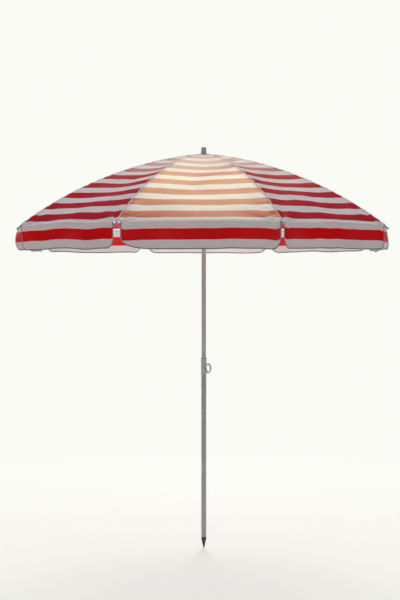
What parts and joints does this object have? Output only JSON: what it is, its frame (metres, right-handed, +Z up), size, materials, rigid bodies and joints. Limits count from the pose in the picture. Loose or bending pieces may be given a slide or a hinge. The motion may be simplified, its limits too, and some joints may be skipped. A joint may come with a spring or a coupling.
{
  "type": "beach umbrella",
  "caption": "Open beach umbrella with a striped canopy, hanging valance flaps, wire ribs and stretchers, a sliding runner and a two-piece pole clamped by an eye screw.",
  "frame": {"origin": "tip of the ground point, on the axis of the pole", "axes": "+Z up along the pole; -Y is the front, where a gore faces the viewer; +X is to the right"},
  "size_m": [1.7534, 1.7534, 1.9872],
  "materials": {
    "pole_steel": "satin grey enamel",
    "zinc": "zinc plated",
    "rib_wire": "grey coated spring wire",
    "tip_metal": "moulded grey",
    "dark_plastic": "moulded, matt",
    "cap_plastic": "moulded, satin",
    "knob_plastic": "moulded, matt",
    "canopy_cloth": "satin polyester, red and white stripes"
  },
  "bodies": {
    "pole_base": {"lower_pole": "pole_steel", "ground_point": "dark_plastic", "pole_collar": "zinc"},
    "eye_screw": {"eye_screw": "zinc"},
    "mast": {"upper_pole": "pole_steel", "crown_hub": "dark_plastic", "crown_pins": "zinc", "crown_rivet": "zinc", "top_cap": "cap_plastic"},
    "runner": {"runner": "dark_plastic", "runner_pins": "zinc"},
    "runner_knob": {"runner_knob": "knob_plastic"},
    "rib_1": {"rib_1": "rib_wire", "rib_tip_1": "tip_metal", "rib_clip_1": "zinc"},
    "stretcher_1": {"stretcher_1": "rib_wire"},
    "rib_2": {"rib_2": "rib_wire", "rib_tip_2": "tip_metal", "rib_clip_2": "zinc"},
    "stretcher_2": {"stretcher_2": "rib_wire"},
    "rib_3": {"rib_3": "rib_wire", "rib_tip_3": "tip_metal", "rib_clip_3": "zinc"},
    "stretcher_3": {"stretcher_3": "rib_wire"},
    "rib_4": {"rib_4": "rib_wire", "rib_tip_4": "tip_metal", "rib_clip_4": "zinc"},
    "stretcher_4": {"stretcher_4": "rib_wire"},
    "rib_5": {"rib_5": "rib_wire", "rib_tip_5": "tip_metal", "rib_clip_5": "zinc"},
    "stretcher_5": {"stretcher_5": "rib_wire"},
    "rib_6": {"rib_6": "rib_wire", "rib_tip_6": "tip_metal", "rib_clip_6": "zinc"},
    "stretcher_6": {"stretcher_6": "rib_wire"},
    "rib_7": {"rib_7": "rib_wire", "rib_tip_7": "tip_metal", "rib_clip_7": "zinc"},
    "stretcher_7": {"stretcher_7": "rib_wire"},
    "rib_8": {"rib_8": "rib_wire", "rib_tip_8": "tip_metal", "rib_clip_8": "zinc"},
    "stretcher_8": {"stretcher_8": "rib_wire"},
    "gore_1": {"gore_1": "canopy_cloth"},
    "flap_1": {"flap_1": "canopy_cloth"},
    "gore_2": {"gore_2": "canopy_cloth"},
    "flap_2": {"flap_2": "canopy_cloth"},
    "gore_3": {"gore_3": "canopy_cloth"},
    "flap_3": {"flap_3": "canopy_cloth"},
    "gore_4": {"gore_4": "canopy_cloth"},
    "flap_4": {"flap_4": "canopy_cloth"},
    "gore_5": {"gore_5": "canopy_cloth"},
    "flap_5": {"flap_5": "canopy_cloth"},
    "gore_6": {"gore_6": "canopy_cloth"},
    "flap_6": {"flap_6": "canopy_cloth"},
    "gore_7": {"gore_7": "canopy_cloth"},
    "flap_7": {"flap_7": "canopy_cloth"},
    "gore_8": {"gore_8": "canopy_cloth"},
    "flap_8": {"flap_8": "canopy_cloth"}
  },
  "joints": [
    {"name": "height_slide", "type": "slide", "parent": "pole_base", "child": "mast", "axis": [0, 0, 1], "range_m": [-0.12, 0.1]},
    {"name": "eye_screw_turn", "type": "hinge", "parent": "pole_base", "child": "eye_screw", "pos_m": [0.0225, -0.036, 0.893], "axis": [0.5299, -0.848, 0], "range_deg": [-90, 270]},
    {"name": "fold", "type": "hinge", "parent": "mast", "child": "rib_1", "pos_m": [0.00796, -0.02051, 1.9445], "axis": [0.9323, 0.3616, 0], "range_deg": [0, 65], "deforming": ["gore_1", "gore_2", "gore_3", "gore_4", "gore_5", "gore_6", "gore_7", "gore_8", "flap_1", "flap_2", "flap_3", "flap_4", "flap_5", "flap_6", "flap_7", "flap_8"]},
    {"name": "stretcher_1_swing", "type": "hinge", "parent": "rib_1", "child": "stretcher_1", "pos_m": [0.15175, -0.39124, 1.83964], "axis": [0.9323, 0.3616, 0], "range_deg": [-131, 1]},
    {"name": "rib_2_fold", "type": "hinge", "parent": "mast", "child": "rib_2", "pos_m": [0.02013, -0.00888, 1.9445], "axis": [0.4035, 0.915, 0], "range_deg": [-1, 66]},
    {"name": "stretcher_2_swing", "type": "hinge", "parent": "rib_2", "child": "stretcher_2", "pos_m": [0.38396, -0.16935, 1.83964], "axis": [0.4035, 0.915, 0], "range_deg": [-131, 1]},
    {"name": "rib_3_fold", "type": "hinge", "parent": "mast", "child": "rib_3", "pos_m": [0.02051, 0.00796, 1.9445], "axis": [-0.3616, 0.9323, 0], "range_deg": [-1, 66]},
    {"name": "stretcher_3_swing", "type": "hinge", "parent": "rib_3", "child": "stretcher_3", "pos_m": [0.39124, 0.15175, 1.83964], "axis": [-0.3616, 0.9323, 0], "range_deg": [-131, 1]},
    {"name": "rib_4_fold", "type": "hinge", "parent": "mast", "child": "rib_4", "pos_m": [0.00888, 0.02013, 1.9445], "axis": [-0.915, 0.4035, 0], "range_deg": [-1, 66]},
    {"name": "stretcher_4_swing", "type": "hinge", "parent": "rib_4", "child": "stretcher_4", "pos_m": [0.16935, 0.38396, 1.83964], "axis": [-0.915, 0.4035, 0], "range_deg": [-131, 1]},
    {"name": "rib_5_fold", "type": "hinge", "parent": "mast", "child": "rib_5", "pos_m": [-0.00796, 0.02051, 1.9445], "axis": [-0.9323, -0.3616, 0], "range_deg": [-1, 66]},
    {"name": "stretcher_5_swing", "type": "hinge", "parent": "rib_5", "child": "stretcher_5", "pos_m": [-0.15175, 0.39124, 1.83964], "axis": [-0.9323, -0.3616, 0], "range_deg": [-131, 1]},
    {"name": "rib_6_fold", "type": "hinge", "parent": "mast", "child": "rib_6", "pos_m": [-0.02013, 0.00888, 1.9445], "axis": [-0.4035, -0.915, 0], "range_deg": [-1, 66]},
    {"name": "stretcher_6_swing", "type": "hinge", "parent": "rib_6", "child": "stretcher_6", "pos_m": [-0.38396, 0.16935, 1.83964], "axis": [-0.4035, -0.915, 0], "range_deg": [-131, 1]},
    {"name": "rib_7_fold", "type": "hinge", "parent": "mast", "child": "rib_7", "pos_m": [-0.02051, -0.00796, 1.9445], "axis": [0.3616, -0.9323, 0], "range_deg": [-1, 66]},
    {"name": "stretcher_7_swing", "type": "hinge", "parent": "rib_7", "child": "stretcher_7", "pos_m": [-0.39124, -0.15175, 1.83964], "axis": [0.3616, -0.9323, 0], "range_deg": [-131, 1]},
    {"name": "rib_8_fold", "type": "hinge", "parent": "mast", "child": "rib_8", "pos_m": [-0.00888, -0.02013, 1.9445], "axis": [0.915, -0.4035, 0], "range_deg": [-1, 66]},
    {"name": "stretcher_8_swing", "type": "hinge", "parent": "rib_8", "child": "stretcher_8", "pos_m": [-0.16935, -0.38396, 1.83964], "axis": [0.915, -0.4035, 0], "range_deg": [-131, 1]},
    {"name": "runner_travel", "type": "hinge", "parent": "stretcher_1", "child": "runner", "pos_m": [0.00796, -0.02051, 1.73478], "axis": [0.9323, 0.3616, 0], "range_deg": [-1, 66]},
    {"name": "knob_turn", "type": "hinge", "parent": "runner", "child": "runner_knob", "pos_m": [0.02073, -0.02169, 1.69678], "axis": [0.6909, -0.723, 0], "range_deg": [-90, 270]},
    {"name": "gore_1_fold", "type": "hinge", "parent": "mast", "child": "gore_1", "pos_m": [0.00967, -0.01012, 1.95298], "axis": [0.723, 0.6909, 0], "range_deg": [-1, 66]},
    {"name": "flap_1_swing", "type": "hinge", "parent": "gore_1", "child": "flap_1", "pos_m": [0.59042, -0.61784, 1.5875], "axis": [0.723, 0.6909, 0], "range_deg": [-66, 1]},
    {"name": "gore_2_fold", "type": "hinge", "parent": "mast", "child": "gore_2", "pos_m": [0.014, -0.00032, 1.95298], "axis": [0.0227, 0.9997, 0], "range_deg": [-1, 66]},
    {"name": "flap_2_swing", "type": "hinge", "parent": "gore_2", "child": "flap_2", "pos_m": [0.85437, -0.01939, 1.5875], "axis": [0.0227, 0.9997, 0], "range_deg": [-66, 1]},
    {"name": "gore_3_fold", "type": "hinge", "parent": "mast", "child": "gore_3", "pos_m": [0.01012, 0.00967, 1.95298], "axis": [-0.6909, 0.723, 0], "range_deg": [-1, 66]},
    {"name": "flap_3_swing", "type": "hinge", "parent": "gore_3", "child": "flap_3", "pos_m": [0.61784, 0.59042, 1.5875], "axis": [-0.6909, 0.723, 0], "range_deg": [-66, 1]},
    {"name": "gore_4_fold", "type": "hinge", "parent": "mast", "child": "gore_4", "pos_m": [0.00032, 0.014, 1.95298], "axis": [-0.9997, 0.0227, 0], "range_deg": [-1, 66]},
    {"name": "flap_4_swing", "type": "hinge", "parent": "gore_4", "child": "flap_4", "pos_m": [0.01939, 0.85437, 1.5875], "axis": [-0.9997, 0.0227, 0], "range_deg": [-66, 1]},
    {"name": "gore_5_fold", "type": "hinge", "parent": "mast", "child": "gore_5", "pos_m": [-0.00967, 0.01012, 1.95298], "axis": [-0.723, -0.6909, 0], "range_deg": [-1, 66]},
    {"name": "flap_5_swing", "type": "hinge", "parent": "gore_5", "child": "flap_5", "pos_m": [-0.59042, 0.61784, 1.5875], "axis": [-0.723, -0.6909, 0], "range_deg": [-66, 1]},
    {"name": "gore_6_fold", "type": "hinge", "parent": "mast", "child": "gore_6", "pos_m": [-0.014, 0.00032, 1.95298], "axis": [-0.0227, -0.9997, 0], "range_deg": [-1, 66]},
    {"name": "flap_6_swing", "type": "hinge", "parent": "gore_6", "child": "flap_6", "pos_m": [-0.85437, 0.01939, 1.5875], "axis": [-0.0227, -0.9997, 0], "range_deg": [-66, 1]},
    {"name": "gore_7_fold", "type": "hinge", "parent": "mast", "child": "gore_7", "pos_m": [-0.01012, -0.00967, 1.95298], "axis": [0.6909, -0.723, 0], "range_deg": [-1, 66]},
    {"name": "flap_7_swing", "type": "hinge", "parent": "gore_7", "child": "flap_7", "pos_m": [-0.61784, -0.59042, 1.5875], "axis": [0.6909, -0.723, 0], "range_deg": [-66, 1]},
    {"name": "gore_8_fold", "type": "hinge", "parent": "mast", "child": "gore_8", "pos_m": [-0.00032, -0.014, 1.95298], "axis": [0.9997, -0.0227, 0], "range_deg": [-1, 66]},
    {"name": "flap_8_swing", "type": "hinge", "parent": "gore_8", "child": "flap_8", "pos_m": [-0.01939, -0.85437, 1.5875], "axis": [0.9997, -0.0227, 0], "range_deg": [-66, 1]}
  ],
  "couplings": [
    {"joint": "stretcher_1_swing", "follows": "fold", "ratio": -2},
    {"joint": "rib_2_fold", "follows": "fold", "ratio": 1},
    {"joint": "stretcher_2_swing", "follows": "fold", "ratio": -2},
    {"joint": "rib_3_fold", "follows": "fold", "ratio": 1},
    {"joint": "stretcher_3_swing", "follows": "fold", "ratio": -2},
    {"joint": "rib_4_fold", "follows": "fold", "ratio": 1},
    {"joint": "stretcher_4_swing", "follows": "fold", "ratio": -2},
    {"joint": "rib_5_fold", "follows": "fold", "ratio": 1},
    {"joint": "stretcher_5_swing", "follows": "fold", "ratio": -2},
    {"joint": "rib_6_fold", "follows": "fold", "ratio": 1},
    {"joint": "stretcher_6_swing", "follows": "fold", "ratio": -2},
    {"joint": "rib_7_fold", "follows": "fold", "ratio": 1},
    {"joint": "stretcher_7_swing", "follows": "fold", "ratio": -2},
    {"joint": "rib_8_fold", "follows": "fold", "ratio": 1},
    {"joint": "stretcher_8_swing", "follows": "fold", "ratio": -2},
    {"joint": "runner_travel", "follows": "fold", "ratio": 1},
    {"joint": "gore_1_fold", "follows": "fold", "ratio": 0.9586},
    {"joint": "flap_1_swing", "follows": "fold", "ratio": -0.9586},
    {"joint": "gore_2_fold", "follows": "fold", "ratio": 0.9025},
    {"joint": "flap_2_swing", "follows": "fold", "ratio": -0.9025},
    {"joint": "gore_3_fold", "follows": "fold", "ratio": 0.9586},
    {"joint": "flap_3_swing", "follows": "fold", "ratio": -0.9586},
    {"joint": "gore_4_fold", "follows": "fold", "ratio": 0.9025},
    {"joint": "flap_4_swing", "follows": "fold", "ratio": -0.9025},
    {"joint": "gore_5_fold", "follows": "fold", "ratio": 0.9586},
    {"joint": "flap_5_swing", "follows": "fold", "ratio": -0.9586},
    {"joint": "gore_6_fold", "follows": "fold", "ratio": 0.9025},
    {"joint": "flap_6_swing", "follows": "fold", "ratio": -0.9025},
    {"joint": "gore_7_fold", "follows": "fold", "ratio": 0.9586},
    {"joint": "flap_7_swing", "follows": "fold", "ratio": -0.9586},
    {"joint": "gore_8_fold", "follows": "fold", "ratio": 0.9025},
    {"joint": "flap_8_swing", "follows": "fold", "ratio": -0.9025}
  ]
}
